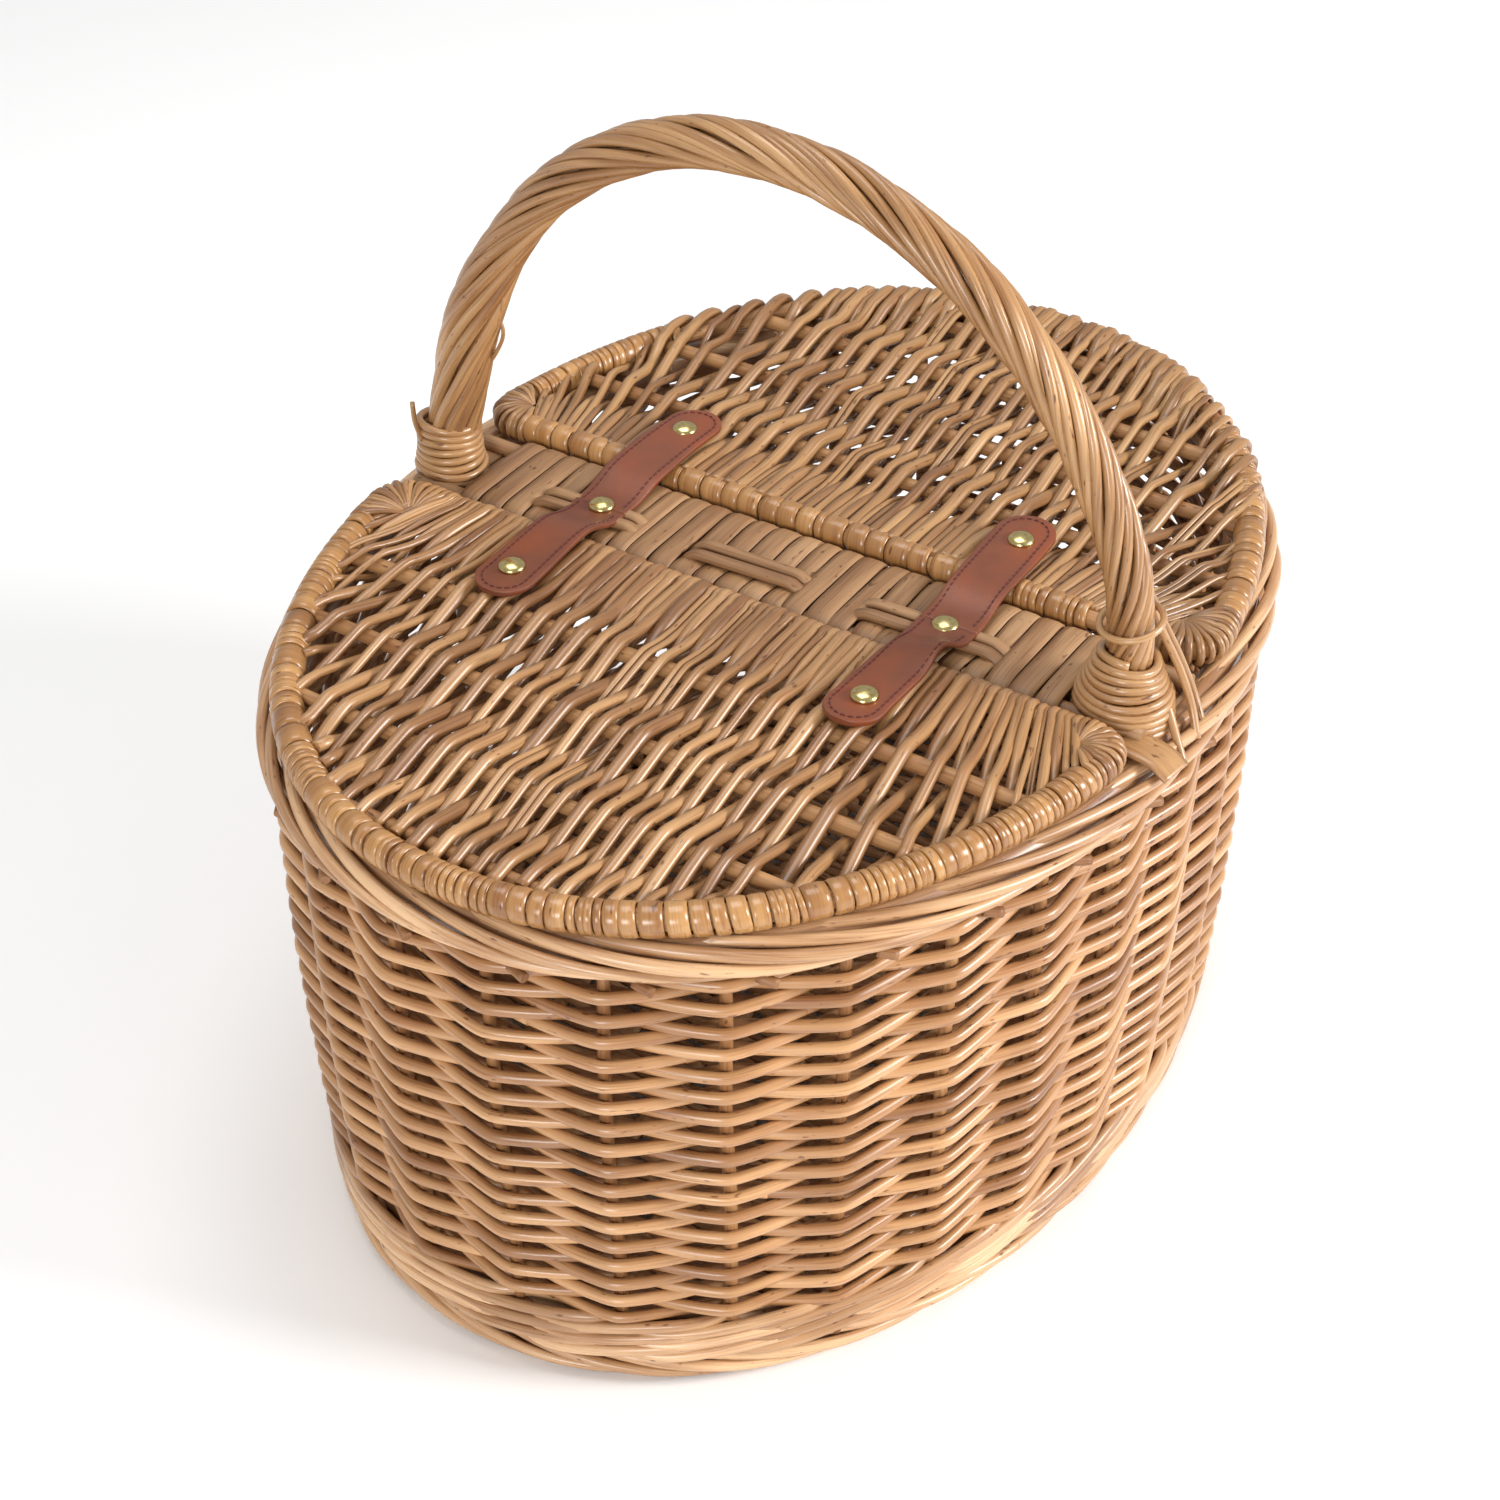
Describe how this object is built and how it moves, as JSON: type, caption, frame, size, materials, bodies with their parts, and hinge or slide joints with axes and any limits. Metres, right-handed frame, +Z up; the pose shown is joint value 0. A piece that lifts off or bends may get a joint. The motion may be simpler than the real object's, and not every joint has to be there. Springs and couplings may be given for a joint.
{
  "type": "wicker picnic basket",
  "caption": "Oval woven willow picnic basket with a roped bow handle, a woven crossbar and two D-shaped lids that hinge on riveted leather straps.",
  "frame": {"origin": "on the floor, below the middle of the basket's outline (the bottom centre of its box)", "axes": "+X along the basket's length, from the left lid to the right lid; +Y along the crossbar and the handle's plane, towards the back foot of the handle; +Z up"},
  "size_m": [0.44, 0.336, 0.3898],
  "materials": {
    "wall_willow": "varnished willow rods, semi-gloss",
    "border_willow": "varnished willow rods, semi-gloss",
    "stake_willow": "willow rods, satin",
    "lid_willow": "varnished willow rods, semi-gloss",
    "bar_willow": "shaved willow strips, satin",
    "handle_willow": "varnished willow rods, semi-gloss",
    "strap_leather": "smooth tan leather, satin",
    "rivet_brass": "polished"
  },
  "bodies": {
    "basket": {"base_panel": "wall_willow", "bottom_wale": "border_willow", "crossbar_rod_left": "stake_willow", "crossbar_rod_middle": "stake_willow", "crossbar_rod_right": "stake_willow", "crossbar_weave": "bar_willow", "foot_border": "border_willow", "handle_bow": "handle_willow", "handle_collar_back": "handle_willow", "handle_collar_front": "handle_willow", "handle_ring": "handle_willow", "handle_rope": "handle_willow", "rim_border": "border_willow", "rivet_back_bar": "rivet_brass", "rivet_front_bar": "rivet_brass", "stake_01": "stake_willow", "stake_02": "stake_willow", "stake_03": "stake_willow", "stake_04": "stake_willow", "stake_05": "stake_willow", "stake_06": "stake_willow", "stake_07": "stake_willow", "stake_08": "stake_willow", "stake_09": "stake_willow", "stake_10": "stake_willow", "stake_11": "stake_willow", "stake_12": "stake_willow", "stake_13": "stake_willow", "stake_14": "stake_willow", "stake_15": "stake_willow", "stake_16": "stake_willow", "stake_17": "stake_willow", "stake_18": "stake_willow", "stake_19": "stake_willow", "stake_20": "stake_willow", "stake_21": "stake_willow", "stake_22": "stake_willow", "stake_23": "stake_willow", "stake_24": "stake_willow", "stake_25": "stake_willow", "stake_26": "stake_willow", "stake_27": "stake_willow", "stake_28": "stake_willow", "stake_29": "stake_willow", "stake_30": "stake_willow", "strap_back_bar": "strap_leather", "strap_front_bar": "strap_leather", "wall_weave": "wall_willow"},
    "lid_left": {"lid_left_frame": "lid_willow", "lid_left_weave": "lid_willow", "rivet_back_left": "rivet_brass", "rivet_front_left": "rivet_brass", "strap_back_left": "strap_leather", "strap_front_left": "strap_leather"},
    "lid_right": {"lid_right_frame": "lid_willow", "lid_right_weave": "lid_willow", "rivet_back_right": "rivet_brass", "rivet_front_right": "rivet_brass", "strap_back_right": "strap_leather", "strap_front_right": "strap_leather"}
  },
  "joints": [
    {"name": "left_lid_hinge", "type": "hinge", "parent": "basket", "child": "lid_left", "pos_m": [-0.0286, 0.0026, 0.2225], "axis": [0, 1, 0], "range_deg": [0, 92]},
    {"name": "right_lid_hinge", "type": "hinge", "parent": "basket", "child": "lid_right", "pos_m": [0.0206, 0.0026, 0.2225], "axis": [0, -1, 0], "range_deg": [0, 92]}
  ]
}
